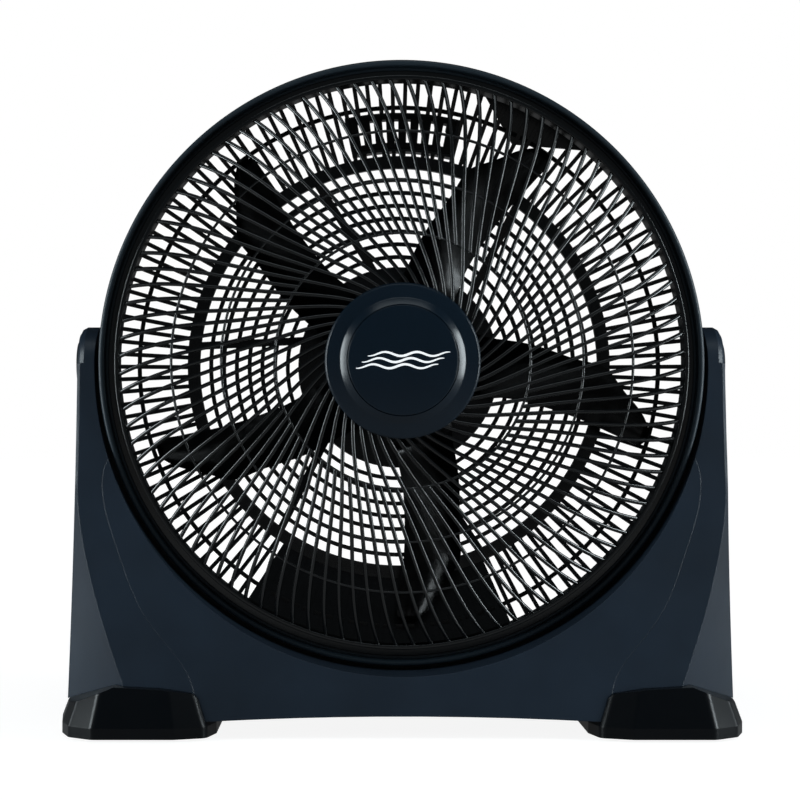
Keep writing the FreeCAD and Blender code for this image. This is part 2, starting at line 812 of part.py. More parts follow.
def make_stator():
    """The laminated stator ring and its two winding heads."""
    inner = dim("rotor_radius") + dim("air_gap")
    outer = dim("core_radius")
    front = dim("core_front")
    back = dim("core_back")
    core = new_body("stator_core", HEAD)
    revolve(core, [(inner, front), (outer, front), (outer, back), (inner, back)])
    heads = []
    for start, end in ((front - 8, front), (back, back + 8)):
        low = float(inner) + 3
        high = float(outer) - 3
        near = float(start)
        far = float(end)
        heads.append(spun([
            (low, near + 2), (low + 3, near), (high - 3, near), (high, near + 2), (high, far - 0.1),
            (low, far - 0.1),
        ] if near < float(front) else [
            (low, near + 0.1), (high, near + 0.1), (high, far - 2), (high - 3, far), (low + 3, far),
            (low, far - 2),
        ]))
    feature_from("stator_winding", Part.makeCompound(heads), HEAD)


def make_bells():
    """The two motor end bells with their bearings."""
    outer = dim("core_radius") + dim("bell_wall")
    core = dim("core_radius")
    wall = dim("bell_wall")
    seat = dim("bearing_outer")
    length = dim("bearing_length")
    bore = dim("shaft_radius") + dim("running_gap")
    for name, sign, face, reach in (
        ("front", 1, dim("motor_front"), dim("core_front") + 3),
        ("rear", -1, dim("pan_floor"), dim("core_back") - 3),
    ):
        inner_face = face + wall * sign
        bearing_end = face + length * sign
        bell = new_body(f"motor_{name}_bell", HEAD)
        revolve(bell, [
            (seat, face), (outer, face), (outer, reach), (core, reach), (core, inner_face),
            (seat + 3, inner_face), (seat + 3, bearing_end), (seat, bearing_end),
        ])
        doc.recompute()
        vent = new_sketch(bell, Y_PLANE, -(face - 1 * sign))
        add_circle(vent, 30, 0, 4.5)
        cut = pocket(bell, vent, 5, reverse=sign < 0)
        around(bell, cut, 8)
        if name == "rear":
            for angle in MOTOR_SCREW_ANGLES:
                spot = polar(float(dim("lug_circle")), angle)
                lug = new_sketch(bell, Y_PLANE, -(face - 10))
                add_outline(lug, lug_outline(spot))
                pad(bell, lug, 10, reverse=True)
            doc.recompute()
            holes = new_sketch(bell, Y_PLANE, -(face - 12))
            for angle in MOTOR_SCREW_ANGLES:
                spot = polar(float(dim("lug_circle")), angle)
                add_circle(holes, spot.x, spot.z, dim("screw_radius"))
            pocket(bell, holes, 14)
        bearing = new_body(f"{name}_bearing", HEAD)
        revolve(bearing, [(bore, face), (seat, face), (seat, bearing_end), (bore, bearing_end)])


def lug_outline(spot):
    """The outline of a screw lug that reaches from a spot towards the motor's axis."""
    radius = float(dim("lug_radius"))
    out = Vector(spot.x, 0, spot.z).normalize()
    side = Vector(-out.z, 0, out.x)
    steps = [
        out * (-8) - side * radius, out * 2 - side * radius, out * radius - side * 2,
        out * radius + side * 2, out * 2 + side * radius, out * (-8) + side * radius,
    ]
    return [(spot.x + step.x, spot.z + step.z) for step in steps]


def make_motor_screws():
    """The screws that hold the motor to the pan of the rear grille."""
    face = float(dim("pan_floor")) + float(dim("pan_wall"))
    spots = [polar(float(dim("lug_circle")), angle) for angle in MOTOR_SCREW_ANGLES]
    screws = [screw(spot.x, face, spot.z, 10.0) for spot in spots]
    feature_from("motor_screws", Part.makeCompound(screws), HEAD)


# ---------------------------------------------------------------- motor cover, switch, knob and gland

COVER_VENTS = 36


def make_cover():
    """The dished cover behind the motor pan, with vents, a knob hole and a cord hole."""
    pan = dim("pan_radius")
    wall = dim("cover_wall")
    back = dim("cover_back")
    start = dim("pan_floor") + 11
    body = new_body("motor_cover", HEAD)
    revolve(body, [
        (pan, start), (pan, back - 7), (pan - 7, back), (0, back), (0, back - wall), (pan - 8, back - wall),
        (pan - wall, back - 8), (pan - wall, start),
    ])
    corners = (float(back), float(back) - 7)
    round_edges(body, 3.0, lambda edge: edge.BoundBox.YLength < 0.01
                and round(edge.BoundBox.YMin, 3) in corners)
    doc.recompute()
    vent = new_sketch(body, Y_PLANE, -(back + 1))
    add_outline(vent, [(67, -1.3), (78, -1.3), (78, 1.3), (67, 1.3)])
    cut = pocket(body, vent, 6, reverse=True)
    around(body, cut, COVER_VENTS)
    doc.recompute()
    holes = new_sketch(body, Y_PLANE, -(back + 1))
    add_circle(holes, 0, dim("knob_height"), dim("spindle_radius") + 1)
    add_circle(holes, 0, -dim("knob_height"), 5)
    for angle in COVER_SCREW_ANGLES:
        spot = polar(COVER_SCREW_CIRCLE, angle)
        add_circle(holes, spot.x, spot.z, 1.8)
    pocket(body, holes, 6, reverse=True)


def make_switch_and_knob():
    """The rotary speed switch, its spindle, the capacitor and the knob."""
    height = dim("knob_height")
    floor = float(dim("pan_floor")) + float(dim("pan_wall"))
    inside = float(dim("cover_back")) - float(dim("cover_wall"))
    switch = block(0, floor + 3, float(height), 30, inside - floor - 3, 28)
    switch = switch.makeFillet(2.0, [edge for edge in switch.Edges if edge.BoundBox.YLength > 5])
    bore_radius = float(dim("spindle_radius")) + float(dim("running_gap"))
    bore = rod(0, inside - 10, float(height), bore_radius, 20, Y_AXIS)
    feature_from("speed_switch", switch.cut(bore), HEAD)
    spindle = new_body("switch_spindle", HEAD + height)
    reach = dim("knob_back") - 3
    radius = dim("spindle_radius")
    revolve(spindle, [(0, inside - 9), (radius, inside - 9), (radius, reach), (0, reach)])
    knob = new_body("speed_knob", HEAD + height)
    face = dim("cover_back") + 0.5
    outer = dim("knob_radius")
    back = dim("knob_back")
    revolve(knob, [
        (radius, face), (outer, face), (outer, face + 2.5), (outer - 2.5, back - 1.5), (outer - 4, back),
        (0, back), (0, reach), (radius, reach),
    ])
    doc.recompute()
    grip = new_sketch(knob, Y_PLANE, -(back + 1))
    add_circle(grip, 12.2, 0, 8.2)
    cut = pocket(knob, grip, 6.5, reverse=True)
    around(knob, cut, 2)
    capacitor = block(-38, floor, 0, 24, 18, 42)
    capacitor = capacitor.makeFillet(3.0, [edge for edge in capacitor.Edges if edge.BoundBox.YLength > 5])
    feature_from("run_capacitor", capacitor, HEAD)


def make_gland():
    """The round gland where the supply cord goes in."""
    back = dim("cover_back")
    wall = dim("cover_wall")
    body = new_body("cord_gland", HEAD - dim("knob_height"))
    revolve(body, [
        (3.6, back + 4), (5.6, back + 4), (6.6, back + 3), (6.6, back), (5, back), (5, back - wall),
        (6.2, back - wall), (6.2, back - wall - 2), (3.6, back - wall - 2),
    ])


def make_cover_screws():
    """The screws that hold the motor cover."""
    back = float(dim("cover_back"))
    spots = [polar(COVER_SCREW_CIRCLE, angle) for angle in COVER_SCREW_ANGLES]
    screws = [screw(spot.x, back, spot.z, 12.0, head=3.4, head_thick=2.0, radius=1.5) for spot in spots]
    feature_from("cover_screws", Part.makeCompound(screws), HEAD)


# ---------------------------------------------------------------- stand

SEAM = ((-244, 252), (-259, 232), (-260.5, 208), (-246.4, 159), (-219, 99.5), (-179, 44), (-181, 12))
GABLE = (
    (-330, 16), (-298, 24), (-245, 45), (-205, 43), (-179, 39), (-167, 29), (-158.5, 14), (-150, -5),
)
FLARE_START = 215.0
PILLAR_SPREAD = 11.5
LOFT_LEVELS = tuple(10 + 348 * i / 16 for i in range(17))
VOID_LEVELS = tuple(10 + 282 * i / 13 for i in range(14))
LOFT_DEGREE = 3
PANEL_SCREWS = ((-120, 51), (0, 37), (120, 51))
PILLAR_SCREWS = ((-236, 110), (-276, 236))
FOOT_SCREWS = ((-232, 44), (-232, -44))
PIVOT_Z = float(HEAD)
BUSH_OUTSIDE = 281.0


def half_depth(z):
    """How far the stand's front is from its middle at a height."""
    low = float(dim("stand_low"))
    high = float(dim("stand_high"))
    share = max(0.0, (high - z) / (high - low))
    return float(dim("arm_half_depth")) + float(dim("stand_flare")) * share ** 1.6


def pillar_section(z, inset):
    """The left pillar's outline at a height, drawn inset all round by a wall."""
    flare = max(0.0, (FLARE_START - z) / (FLARE_START - float(dim("stand_low"))))
    front = half_depth(z)
    outside = -float(dim("arm_outer")) - PILLAR_SPREAD * flare ** 0.9
    ridge = outside + 2.5 + 65.0 * flare ** 1.45
    shoulder = front - 2.5 - 80.0 * flare ** 0.9
    shoulder = max(shoulder, 10.0)
    front -= inset
    outside += inset
    ridge += inset * 0.6
    shoulder -= inset * 0.6
    inner = -150.0
    corners = [
        (outside, -shoulder), (ridge, -front), (inner, -front), (inner, front), (ridge, front),
        (outside, shoulder),
    ]
    points = [Vector(x, y, z) for x, y in corners]
    return Part.makePolygon(points + points[:1])


def region(points, low=-130.0, high=130.0):
    """A prism along Y over an outline of (x, z) points."""
    corners = [Vector(x, low, z) for x, z in points]
    face = Part.Face(Part.makePolygon(corners + corners[:1]))
    return face.extrude(Vector(0, high - low, 0))


def seam_region():
    """Everything on the pillar's side of the left seam."""
    curve = Part.BSplineCurve()
    curve.interpolate([Vector(x, -130, z) for x, z in SEAM])
    corners = [Vector(x, -130, z) for x, z in (SEAM[-1], (-330, 0), (-330, 400), (-200, 400), SEAM[0])]
    corners[1] = Vector(-330, -130, SEAM[-1][1])
    wire = Part.Wire([curve.toShape()] + Part.makePolygon(corners).Edges)
    return Part.Face(wire).extrude(Vector(0, 260, 0))


def below_gable(raise_by=0.0):
    """Everything under the peaked line where the left pillar stands on its foot."""
    line = [(x, z + raise_by) for x, z in GABLE]
    return region(line + [(GABLE[-1][0], -20), (GABLE[0][0], -20)])


FOOT_ROUNDING = 9.0


def foot_plan(inset, z):
    """The plan of the left foot at a height, shrunk by about inset all round, with rounded corners."""
    outer = -float(dim("foot_outer"))
    inner = -float(dim("foot_inner"))
    depth = float(dim("foot_half_depth"))
    half = [
        (inner, depth - 38), (inner - 7, depth - 10), (inner - 34, depth), (outer + 36.7, depth),
        (outer + 15.2, depth - 16), (outer + 6.2, depth - 42), (outer, depth - 86),
    ]
    middle = (outer + inner) / 2
    narrow = 1 - 2 * inset / (inner - outer)
    shallow = 1 - inset / depth
    outline = half + [(x, -y) for x, y in reversed(half)]
    corners = [Vector(middle + (x - middle) * narrow, y * shallow, z) for x, y in outline]
    edges = []
    last = None
    for i, corner in enumerate(corners):
        before = (corners[i - 1] - corner).normalize()
        after = (corners[(i + 1) % len(corners)] - corner).normalize()
        half_turn = before.getAngle(after) / 2
        reach = FOOT_ROUNDING / math.tan(half_turn)
        start = corner + before * reach
        end = corner + after * reach
        bulge = FOOT_ROUNDING / math.sin(half_turn) - FOOT_ROUNDING
        crest = corner + (before + after).normalize() * bulge
        if last is not None:
            edges.append(Part.makeLine(last, start))
        edges.append(Part.Arc(start, crest, end).toShape())
        last = end
    edges.append(Part.makeLine(last, edges[0].valueAt(edges[0].FirstParameter)))
    return Part.Wire(edges)


def make_foot_solid():
    """The outside of the left foot."""
    base = float(dim("pad_height"))
    lip = float(dim("foot_lip"))
    top = foot_plan(float(dim("foot_taper")), float(dim("foot_top")))
    upright = Part.Face(foot_plan(0, base)).extrude(Vector(0, 0, lip - base))
    cone = Part.makeLoft([foot_plan(0, lip), top], True, True)
    return upright.fuse(cone).common(below_gable()).removeSplitter()


PAD_SPOTS = ((-272, 40), (-272, -40), (-184, 68), (-184, -68))


def make_feet():
    """The two feet, hollow from below, with their rubber pads and screws."""
    solid = make_foot_solid()
    base = float(dim("pad_height"))
    cavity = Part.makeLoft([foot_plan(6, base - 1), foot_plan(9, 20)], True, True)
    posts = [rod(x, y, base, 11.5, 20, Z_AXIS) for x, y in PAD_SPOTS]
    posts += [rod(x, y, base + 8, 7, 20, Z_AXIS) for x, y in FOOT_SCREWS]
    foot = solid.cut(cavity.cut(posts))
    recesses = [rod(x, y, base - 1, float(dim("pad_radius")), 4, Z_AXIS) for x, y in PAD_SPOTS]
    holes = [rod(x, y, 0, 2.1, 60, Z_AXIS) for x, y in FOOT_SCREWS]
    holes += [rod(x, y, 0, 4.2, 14, Z_AXIS) for x, y in FOOT_SCREWS]
    foot = foot.cut(recesses + holes)
    feature_from("left_foot", foot)
    feature_from("right_foot", mirrored(foot))
    pads = []
    for x, y in PAD_SPOTS:
        soft = rod(x, y, 0, float(dim("pad_radius")), base + 3, Z_AXIS)
        soft = soft.makeChamfer(0.8, [edge for edge in soft.Edges if edge.BoundBox.ZMax < 0.01])
        pads += [soft, mirrored(soft)]
    feature_from("foot_pads", Part.makeCompound(pads))
    screws = []
    for x, y in FOOT_SCREWS:
        one = screw(x, y, 14, 36.0, direction=-Z_AXIS)
        screws += [one, mirrored(one)]
    feature_from("foot_screws", Part.makeCompound(screws))
    return solid


def fan_cylinder(radius):
    """A long cylinder along the fan's axis, that the head turns inside."""
    return rod(0, -150, PIVOT_Z, radius, 300, Y_AXIS)


def arm_cap_cut():
    """What is cut away above the pivot line to round off the left arm's top."""
    radius = half_depth(PIVOT_Z)
    outer = -float(dim("arm_outer"))
    keep = spun([(0, outer - 3), (radius - 7, outer - 3), (radius - 6, outer), (radius - 2, outer + 2.2),
                 (radius, outer + 6), (radius, outer + 40), (0, outer + 40)], X_AXIS)
    keep.translate(Vector(0, 0, PIVOT_Z))
    return Part.makeBox(90, 200, 100, Vector(outer - 20, -100, PIVOT_Z)).cut(keep)


def screw_bosses(spots, envelope):
    """Posts along Y for the screws that join the stand's front and rear shells."""
    return [rod(x, -130, z, 5.0, 260, Y_AXIS).common(envelope) for x, z in spots]


def screw_holes(spots):
    """The holes in those posts: a pilot in front, a clearance hole and a counterbore behind."""
    holes = []
    for x, z in spots:
        sink = half_depth(z) - 10
        holes.append(rod(x, -16, z, 1.7, 17, Y_AXIS))
        holes.append(rod(x, 0, z, 2.2, sink, Y_AXIS))
        holes.append(rod(x, sink, z, 4.0, 40, Y_AXIS))
    return holes


def halves(name, shape):
    """Split a shell of the stand into its front and rear pieces."""
    front = Part.makeBox(800, 200, 500, Vector(-400, -200, -50))
    rear = Part.makeBox(800, 200, 500, Vector(-400, 0, -50))
    feature_from(f"{name}_front", shape.common(front))
    feature_from(f"{name}_rear", shape.common(rear))


def make_pillars():
    """The left and right pillars: hollow below, solid round the pivot, in front and rear pieces."""
    wall = float(dim("shell_wall"))
    arch = float(dim("arch_radius"))
    outer = Part.makeLoft([pillar_section(z, 0) for z in LOFT_LEVELS], True, False, False, LOFT_DEGREE)
    outer = outer.cut([fan_cylinder(arch), below_gable(), arm_cap_cut()]).common(seam_region())
    inner = [pillar_section(z, wall) for z in VOID_LEVELS]
    void = Part.makeLoft(inner, True, False, False, LOFT_DEGREE)
    void = void.cut([fan_cylinder(arch + wall), below_gable(wall)])
    shell = outer.cut(void).fuse(screw_bosses(PILLAR_SCREWS, outer))
    seat = float(dim("arm_outer")) - float(dim("cap_sink"))
    pivot = [
        rod(-300, 0, PIVOT_Z, float(dim("bush_outer")), 60, X_AXIS),
        rod(-300, 0, PIVOT_Z, 10, 300 - BUSH_OUTSIDE, X_AXIS),
        rod(-300, 0, PIVOT_Z, float(dim("cap_radius")) + 0.3, 300 - seat, X_AXIS),
    ]
    holes = [rod(x, y, 0, 2.0, 60, Z_AXIS) for x, y in FOOT_SCREWS]
    shell = shell.cut(pivot + holes + screw_holes(PILLAR_SCREWS))
    halves("left_pillar", shell)
    halves("right_pillar", mirrored(shell))


def make_panel(foot):
    """The middle of the stand under the arch, in front and rear pieces."""
    wall = float(dim("shell_wall"))
    arch = float(dim("arch_radius"))
    side = float(dim("panel_low_side"))
    middle = float(dim("panel_low_middle"))

    def profile(inset):
        heights = [8, 30, 60, 90, 130, 180, 225, 262]
        curves = []
        for sign in (-1, 1):
            curve = Part.BSplineCurve()
            curve.interpolate([Vector(-262, sign * (half_depth(z) - inset), z) for z in heights])
            curves.append(curve)
        ends = [
            Part.makeLine(curves[0].EndPoint, curves[1].EndPoint),
            Part.makeLine(curves[0].StartPoint, curves[1].StartPoint),
        ]
        wire = Part.Wire([curves[0].toShape(), ends[0], curves[1].toShape(), ends[1]])
        return Part.Face(wire).extrude(Vector(524, 0, 0))

    def under(raise_by):
        points = [Vector(-180, -130, side + raise_by), Vector(0, -130, middle + raise_by)]
        arc = Part.Arc(points[0], points[1], Vector(180, -130, side + raise_by)).toShape()
        low = -10
        rest = [Vector(180, -130, side + raise_by), Vector(300, -130, side + raise_by), Vector(300, -130, low),
                Vector(-300, -130, low), Vector(-300, -130, side + raise_by), points[0]]
        return Part.Face(Part.Wire([arc] + Part.makePolygon(rest).Edges)).extrude(Vector(0, 260, 0))

    seams = seam_region()
    others = [under(0), seams, mirrored(seams), foot, mirrored(foot)]
    outer = profile(0).cut([fan_cylinder(arch)] + others)
    gable = below_gable(wall)
    void = profile(wall).cut([fan_cylinder(arch + wall), under(wall), gable, mirrored(gable)])
    shell = outer.cut(void).fuse(screw_bosses(PANEL_SCREWS, outer)).cut(screw_holes(PANEL_SCREWS))
    halves("stand_panel", shell)


def make_stand_screws():
    """The screws that join the stand's front and rear shells."""
    spots = list(PANEL_SCREWS) + list(PILLAR_SCREWS) + [(-x, z) for x, z in PILLAR_SCREWS]
    screws = []
    for x, z in spots:
        sink = half_depth(z) - 10
        screws.append(screw(x, sink, z, sink + 14, radius=1.7))
    feature_from("stand_screws", Part.makeCompound(screws))


# ---------------------------------------------------------------- pivots

def make_pivots():
    """On each side: bolt, bush, friction washer and outer cap."""
    radius = dim("bolt_radius")
    reach = dim("boss_reach")
    arm = dim("arm_outer")
    seat = arm - dim("cap_sink")
    for name, side in (("left", -1), ("right", 1)):
        bush = new_body(f"{name}_pivot_bush", HEAD)
        bore = radius + dim("running_gap")
        outer = dim("bush_outer")
        inside = reach + 3.2
        revolve(bush, [
            (bore, inside * side), (outer, inside * side), (outer, BUSH_OUTSIDE * side),
            (bore, BUSH_OUTSIDE * side),
        ], axis="X_Axis")
        washer = new_body(f"{name}_friction_washer", HEAD)
        far = reach + 2.2
        revolve(washer, [
            (radius, reach * side), (16, reach * side), (16, far * side), (radius, far * side),
        ], axis="X_Axis")
        bolt = new_body(f"{name}_pivot_bolt", HEAD)
        root = reach - 11.5
        head = BUSH_OUTSIDE + 0.3
        revolve(bolt, [
            (0, root * side), (radius, root * side), (radius, head * side), (7, head * side),
            (7, (head + 4) * side), (6, (head + 5) * side), (0, (head + 5) * side),
        ], axis="X_Axis")
        cap = new_body(f"{name}_pivot_cap", HEAD)
        rim = dim("cap_radius")
        crown = dim("cap_reach")
        revolve(cap, [
            (0, crown * side), (9, crown * side), (rim - 4, (crown - 1.6) * side), (rim, (crown - 3.6) * side),
            (rim, seat * side), (10, seat * side), (10, (arm + 2.2) * side), (0, (arm + 2.2) * side),
        ], axis="X_Axis")


# ---------------------------------------------------------------- build, check and write

make_drum()
make_front_grille()
make_rear_grille()
make_handle()
make_rim_screws()
make_hub_plate()
make_blade()
make_blade_nut()
make_shaft()
make_drive_pin()
make_rotor()
make_stator()
make_bells()
make_motor_screws()
make_cover()
make_switch_and_knob()
make_gland()
make_cover_screws()
foot_outside = make_feet()
make_pillars()
make_panel(foot_outside)
make_stand_screws()
make_pivots()
doc.recompute()

for item in doc.Objects:
    if "Invalid" in item.State or "Error" in item.State:
        raise RuntimeError(f"{item.Label} failed: {item.State}")

subparts = [
    item for item in doc.Objects
    if item.TypeId == "PartDesign::Body" or item.TypeId == "Part::Feature"
]
os.makedirs("parts", exist_ok=True)
for item in subparts:
    shape = item.Shape
    if shape.isNull() or not shape.isValid() or not shape.Solids:
        raise RuntimeError(f"{item.Label} has no valid shape")
    shape.exportStep(f"parts/{item.Label}.step")
    print(item.Label, len(shape.Solids), len(shape.Faces), round(shape.Volume))
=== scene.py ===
"""The looks of a round-grille floor fan on a U-shaped stand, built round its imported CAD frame.

X is to the right, the air leaves towards -Y, +Z is up and the floor is z = 0. Lengths are metres. The fan's
head turns with the bodies "head" and "impeller" inside it, so head pieces are drawn about the fan's own axis,
a line along Y at AXIS_Z, with angles counted from +X towards +Z.
"""

import math

import bpy
from mathutils import Matrix, Vector


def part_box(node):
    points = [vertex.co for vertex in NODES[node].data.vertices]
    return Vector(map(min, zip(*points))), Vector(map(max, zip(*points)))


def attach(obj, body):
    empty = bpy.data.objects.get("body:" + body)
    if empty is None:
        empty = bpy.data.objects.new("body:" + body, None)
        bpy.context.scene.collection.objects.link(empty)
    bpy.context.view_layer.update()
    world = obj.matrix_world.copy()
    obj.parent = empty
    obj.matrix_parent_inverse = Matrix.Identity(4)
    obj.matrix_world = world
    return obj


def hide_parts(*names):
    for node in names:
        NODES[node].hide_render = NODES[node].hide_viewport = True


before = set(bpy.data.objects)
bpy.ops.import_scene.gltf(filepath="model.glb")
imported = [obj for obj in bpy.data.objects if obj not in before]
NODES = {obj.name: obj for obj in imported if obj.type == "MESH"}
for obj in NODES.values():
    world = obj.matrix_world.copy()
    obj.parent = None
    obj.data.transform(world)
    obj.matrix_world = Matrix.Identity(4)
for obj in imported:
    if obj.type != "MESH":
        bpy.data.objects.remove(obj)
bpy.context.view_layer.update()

MM = 0.001
DRUM_LOW, DRUM_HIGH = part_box("drum")
AXIS_Z = (DRUM_LOW.z + DRUM_HIGH.z) / 2
RIM_RADIUS = (DRUM_HIGH.z - DRUM_LOW.z) / 2


# ---------------------------------------------------------------- camera

EYE = Vector((-0.045, -1.685, 0.250))
LENS = 84.6
SENSOR = 36.0
SHIFT = (0.0625, 0.0563)


def add_camera():
    """A level camera in front of the fan, a little left of its middle and below its axis."""
    data = bpy.data.cameras.new("camera")
    data.lens = LENS
    data.sensor_width = SENSOR
    data.shift_x, data.shift_y = SHIFT
    data.clip_start = 0.05
    camera = bpy.data.objects.new("camera", data)
    bpy.context.scene.collection.objects.link(camera)
    camera.location = EYE
    camera.rotation_euler = (math.pi / 2, 0, 0)
    bpy.context.scene.camera = camera


# ---------------------------------------------------------------- studio

def add_softbox(name, place, target, size, radiance, tint=(1, 1, 1)):
    """A rectangular softbox that faces a target, with a radiance in scene units."""
    data = bpy.data.lights.new(name, "AREA")
    data.shape = "RECTANGLE"
    data.size, data.size_y = size
    data.energy = radiance * math.pi * size[0] * size[1]
    data.color = tint
    light = bpy.data.objects.new(name, data)
    bpy.context.scene.collection.objects.link(light)
    light.location = place
    light.rotation_euler = (Vector(target) - Vector(place)).to_track_quat("-Z", "Y").to_euler()
    light.visible_camera = False


FRONT_LIGHT = 0.08
SIDE_LIGHT = 0.03
FLOOR_SIZE = 60.0
FLOOR_BOUNCE = 0.10
FLOOR_NEAR = 0.90


def add_surround():
    """A world that looks white to the camera and lights the fan dimly, mostly from the front."""
    world = bpy.data.worlds.new("studio")
    world.use_nodes = True
    bpy.context.scene.world = world
    tree = world.node_tree
    tree.nodes.clear()
    seen = tree.nodes.new("ShaderNodeBackground")
    seen.inputs["Color"].default_value = (1, 1, 1, 1)
    lit = tree.nodes.new("ShaderNodeBackground")
    lit.inputs["Color"].default_value = (0.80, 0.92, 1.0, 1)
    place = tree.nodes.new("ShaderNodeTexCoord")
    split = tree.nodes.new("ShaderNodeSeparateXYZ")
    tree.links.new(place.outputs["Generated"], split.inputs[0])
    fall = tree.nodes.new("ShaderNodeMapRange")
    fall.interpolation_type = "SMOOTHSTEP"
    fall.inputs["From Min"].default_value = 0.1
    fall.inputs["From Max"].default_value = -0.95
    fall.inputs["To Min"].default_value = SIDE_LIGHT
    fall.inputs["To Max"].default_value = FRONT_LIGHT
    tree.links.new(split.outputs["Y"], fall.inputs["Value"])
    tree.links.new(fall.outputs["Result"], lit.inputs["Strength"])
    path = tree.nodes.new("ShaderNodeLightPath")
    mix = tree.nodes.new("ShaderNodeMixShader")
    out = tree.nodes.new("ShaderNodeOutputWorld")
    tree.links.new(path.outputs["Is Camera Ray"], mix.inputs["Fac"])
    tree.links.new(lit.outputs[0], mix.inputs[1])
    tree.links.new(seen.outputs[0], mix.inputs[2])
    tree.links.new(mix.outputs[0], out.inputs["Surface"])


def add_lights():
    """Tall softboxes on both sides, in front and behind, and a wide one above."""
    middle = (0, 0, 0.30)
    cool = (0.86, 0.96, 1.0)
    add_softbox("left_strip", (-1.45, -0.53, 0.40), middle, (0.25, 1.2), 19, cool)
    add_softbox("right_strip", (1.45, -0.53, 0.50), middle, (0.25, 1.2), 21, cool)
    add_softbox("left_rear_strip", (-1.45, 0.36, 0.20), middle, (0.30, 0.6), 4.5, cool)
    add_softbox("right_rear_strip", (1.45, 0.36, 0.20), middle, (0.30, 0.6), 3.5, cool)
    add_softbox("overhead", (0, -0.9, 1.9), (0, 0, 0.5), (1.6, 0.5), 1.6, cool)


def add_floor():
    """A large flat floor that only the camera sees as bright."""
    mesh = bpy.data.meshes.new("floor")
    half = FLOOR_SIZE / 2
    corners = [(-half, -half, 0), (half, -half, 0), (half, half, 0), (-half, half, 0)]
    mesh.from_pydata(corners, [], [(0, 1, 2, 3)])
    floor = bpy.data.objects.new("floor", mesh)
    bpy.context.scene.collection.objects.link(floor)
    floor.data.materials.append(floor_material())


def floor_material():
    """Plain pale paper, a little darker near the fan and as white as the surround farther out."""
    material = bpy.data.materials.new("pale_floor")
    material.use_nodes = True
    shader = material.node_tree.nodes["Principled BSDF"]
    shader.inputs["Base Color"].default_value = (0.25, 0.25, 0.25, 1)
    shader.inputs["Roughness"].default_value = 0.9
    shader.inputs["Specular IOR Level"].default_value = 0.0
    shader.inputs["Emission Color"].default_value = (1, 1, 1, 1)
    tree = material.node_tree
    path = tree.nodes.new("ShaderNodeLightPath")
    glow = tree.nodes.new("ShaderNodeMapRange")
    glow.inputs["To Min"].default_value = FLOOR_BOUNCE
    place = tree.nodes.new("ShaderNodeTexCoord")
    distance = tree.nodes.new("ShaderNodeVectorMath")
    distance.operation = "LENGTH"
    tree.links.new(place.outputs["Object"], distance.inputs[0])
    reach = tree.nodes.new("ShaderNodeMapRange")
    reach.inputs["From Min"].default_value = 0.35
    reach.inputs["From Max"].default_value = 1.3
    reach.inputs["To Min"].default_value = FLOOR_NEAR
    tree.links.new(distance.outputs["Value"], reach.inputs["Value"])
    tree.links.new(reach.outputs["Result"], glow.inputs["To Max"])
    tree.links.new(path.outputs["Is Camera Ray"], glow.inputs["Value"])
    tree.links.new(glow.outputs["Result"], shader.inputs["Emission Strength"])
    return material


# ---------------------------------------------------------------- materials

def add_node(tree, kind, **values):
    """A shader node with some inputs set by name."""
    node = tree.nodes.new(kind)
    for name, value in values.items():
        node.inputs[name.replace("_", " ")].default_value = value
    return node


def moulded(name, colour, roughness, grain=0.0, grain_size=0.0006, mottle=0.12, metallic=0.0,
            specular=0.5, edge=0.0004, glow=0.0):
    """Moulded plastic or plain metal: a drifting colour, patchy gloss, a fine grain and soft edges; glow adds
    a painted glow in the material's own colour, light that no lamp gives.
    """
    material = bpy.data.materials.new(name)
    material.use_nodes = True
    tree = material.node_tree
    shader = tree.nodes["Principled BSDF"]
    shader.inputs["Metallic"].default_value = metallic
    shader.inputs["Specular IOR Level"].default_value = specular
    # painted glow: the surface gives off light in its own colour, as strong as glow says
    shader.inputs["Emission Color"].default_value = (*colour, 1)
    shader.inputs["Emission Strength"].default_value = glow
    place = tree.nodes.new("ShaderNodeTexCoord")

    drift = add_node(tree, "ShaderNodeTexNoise", Scale=9.0, Detail=3.0, Roughness=0.6)
    tree.links.new(place.outputs["Object"], drift.inputs["Vector"])
    shades = tree.nodes.new("ShaderNodeValToRGB")
    shades.color_ramp.elements[0].position = 0.3
    shades.color_ramp.elements[1].position = 0.7
    shades.color_ramp.elements[0].color = (*[c * (1 - mottle) for c in colour], 1)
    shades.color_ramp.elements[1].color = (*[c * (1 + mottle) for c in colour], 1)
    tree.links.new(drift.outputs["Fac"], shades.inputs["Fac"])
    tree.links.new(shades.outputs["Color"], shader.inputs["Base Color"])

    smear = add_node(tree, "ShaderNodeTexNoise", Scale=28.0, Detail=5.0, Roughness=0.65)
    tree.links.new(place.outputs["Object"], smear.inputs["Vector"])
    gloss = add_node(tree, "ShaderNodeMapRange", To_Min=roughness * 0.88, To_Max=roughness * 1.12)
    tree.links.new(smear.outputs["Fac"], gloss.inputs["Value"])
    tree.links.new(gloss.outputs["Result"], shader.inputs["Roughness"])

    soft = add_node(tree, "ShaderNodeBevel", Radius=edge)
    soft.samples = 4
    tree.links.new(soft.outputs["Normal"], shader.inputs["Normal"])
    if grain > 0:
        pits = add_node(tree, "ShaderNodeTexNoise", Scale=1.0 / grain_size, Detail=2.0, Roughness=0.5)
        tree.links.new(place.outputs["Object"], pits.inputs["Vector"])
        bump = add_node(tree, "ShaderNodeBump", Strength=grain, Distance=0.0002)
        tree.links.new(pits.outputs["Fac"], bump.inputs["Height"])
        tree.links.new(soft.outputs["Normal"], bump.inputs["Normal"])
        tree.links.new(bump.outputs["Normal"], shader.inputs["Normal"])
    return material


